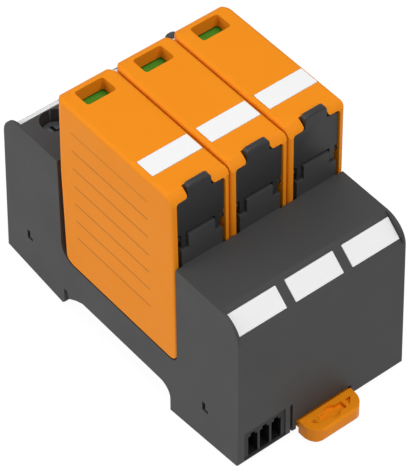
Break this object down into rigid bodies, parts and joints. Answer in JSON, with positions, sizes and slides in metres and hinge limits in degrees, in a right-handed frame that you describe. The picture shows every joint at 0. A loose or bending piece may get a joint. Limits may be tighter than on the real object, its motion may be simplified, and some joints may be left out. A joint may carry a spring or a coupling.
{
  "type": "surge_arrester",
  "caption": "Plug-in surge arrester for a 35 mm rail: dark grey base with clamp terminals, orange modules with release levers and status windows, pull foot and white marker tags.",
  "frame": {"origin": "middle of the rail seat", "axes": "+X towards the end with the pull foot, +Y across the poles, +Z away from the rail"},
  "size_m": [0.1034, 0.054, 0.0789],
  "materials": {
    "housing": "fine spark-eroded grain, satin",
    "plug_orange": "fine grain, satin",
    "black_plastic": "fine grain, satin",
    "tag_white": "smooth matt",
    "flag_green": "smooth",
    "fault_red": "smooth",
    "plated_steel": "zinc plated",
    "copper": "bare copper strip",
    "varistor_coat": "dipped coating",
    "board": "lacquered board"
  },
  "bodies": {
    "base": {"base_housing": "housing", "base_cover": "housing", "common_bar": "copper", "signal_header": "black_plastic", "signal_pins": "plated_steel", "signal_board": "board", "micro_switch": "black_plastic", "line_contact_1": "copper", "line_contact_2": "copper", "line_contact_3": "copper", "front_tag_1": "tag_white", "front_tag_2": "tag_white", "front_tag_3": "tag_white", "rear_tag_1": "tag_white", "rear_tag_2": "tag_white", "rear_tag_3": "tag_white"},
    "foot": {"rail_foot": "plug_orange"},
    "signal_bar": {"signal_bar": "black_plastic"},
    "plug_1": {"plug_housing_1": "plug_orange", "plug_base_1": "black_plastic", "varistor_1": "varistor_coat", "line_blade_1": "copper", "common_blade_1": "copper", "disconnect_arm_1": "copper", "fault_plate_1": "fault_red", "module_tag_1": "tag_white"},
    "lever_1": {"release_lever_1": "black_plastic"},
    "flag_1": {"status_flag_1": "flag_green"},
    "screw_1": {"terminal_screw_1": "plated_steel"},
    "cage_1": {"clamp_cage_1": "plated_steel"},
    "plug_2": {"plug_housing_2": "plug_orange", "plug_base_2": "black_plastic", "varistor_2": "varistor_coat", "line_blade_2": "copper", "common_blade_2": "copper", "disconnect_arm_2": "copper", "fault_plate_2": "fault_red", "module_tag_2": "tag_white"},
    "lever_2": {"release_lever_2": "black_plastic"},
    "flag_2": {"status_flag_2": "flag_green"},
    "screw_2": {"terminal_screw_2": "plated_steel"},
    "cage_2": {"clamp_cage_2": "plated_steel"},
    "plug_3": {"plug_housing_3": "plug_orange", "plug_base_3": "black_plastic", "varistor_3": "varistor_coat", "line_blade_3": "copper", "common_blade_3": "copper", "disconnect_arm_3": "copper", "fault_plate_3": "fault_red", "module_tag_3": "tag_white"},
    "lever_3": {"release_lever_3": "black_plastic"},
    "flag_3": {"status_flag_3": "flag_green"},
    "screw_3": {"terminal_screw_3": "plated_steel"},
    "cage_3": {"clamp_cage_3": "plated_steel"}
  },
  "joints": [
    {"name": "foot_pull", "type": "slide", "parent": "base", "child": "foot", "axis": [1, 0, 0], "range_m": [0, 0.004]},
    {"name": "signal_travel", "type": "slide", "parent": "base", "child": "signal_bar", "axis": [1, 0, 0], "range_m": [0, 0.0015]},
    {"name": "plug_pull_1", "type": "slide", "parent": "base", "child": "plug_1", "axis": [0, 0, 1], "range_m": [0, 0.06]},
    {"name": "lever_tilt_1", "type": "hinge", "parent": "plug_1", "child": "lever_1", "pos_m": [0.021, -0.0178, 0.0543], "axis": [0, 1, 0], "range_deg": [0, 12]},
    {"name": "flag_slide_1", "type": "slide", "parent": "plug_1", "child": "flag_1", "axis": [1, 0, 0], "range_m": [0, 0.0065]},
    {"name": "screw_turn_1", "type": "hinge", "parent": "base", "child": "screw_1", "pos_m": [-0.0363, -0.0178, 0.0392], "axis": [0, 0, -1], "range_deg": [0, 1800]},
    {"name": "cage_lift_1", "type": "slide", "parent": "base", "child": "cage_1", "axis": [0, 0, 1], "range_m": [0, 0.004]},
    {"name": "plug_pull_2", "type": "slide", "parent": "base", "child": "plug_2", "axis": [0, 0, 1], "range_m": [0, 0.06]},
    {"name": "lever_tilt_2", "type": "hinge", "parent": "plug_2", "child": "lever_2", "pos_m": [0.021, 0, 0.0543], "axis": [0, 1, 0], "range_deg": [0, 12]},
    {"name": "flag_slide_2", "type": "slide", "parent": "plug_2", "child": "flag_2", "axis": [1, 0, 0], "range_m": [0, 0.0065]},
    {"name": "screw_turn_2", "type": "hinge", "parent": "base", "child": "screw_2", "pos_m": [-0.0363, 0, 0.0392], "axis": [0, 0, -1], "range_deg": [0, 1800]},
    {"name": "cage_lift_2", "type": "slide", "parent": "base", "child": "cage_2", "axis": [0, 0, 1], "range_m": [0, 0.004]},
    {"name": "plug_pull_3", "type": "slide", "parent": "base", "child": "plug_3", "axis": [0, 0, 1], "range_m": [0, 0.06]},
    {"name": "lever_tilt_3", "type": "hinge", "parent": "plug_3", "child": "lever_3", "pos_m": [0.021, 0.0178, 0.0543], "axis": [0, 1, 0], "range_deg": [0, 12]},
    {"name": "flag_slide_3", "type": "slide", "parent": "plug_3", "child": "flag_3", "axis": [1, 0, 0], "range_m": [0, 0.0065]},
    {"name": "screw_turn_3", "type": "hinge", "parent": "base", "child": "screw_3", "pos_m": [-0.0363, 0.0178, 0.0392], "axis": [0, 0, -1], "range_deg": [0, 1800]},
    {"name": "cage_lift_3", "type": "slide", "parent": "base", "child": "cage_3", "axis": [0, 0, 1], "range_m": [0, 0.004]}
  ],
  "couplings": [
    {"joint": "screw_turn_1", "follows": "cage_lift_1", "rad_per_m": 7854},
    {"joint": "screw_turn_2", "follows": "cage_lift_2", "rad_per_m": 7854},
    {"joint": "screw_turn_3", "follows": "cage_lift_3", "rad_per_m": 7854}
  ]
}
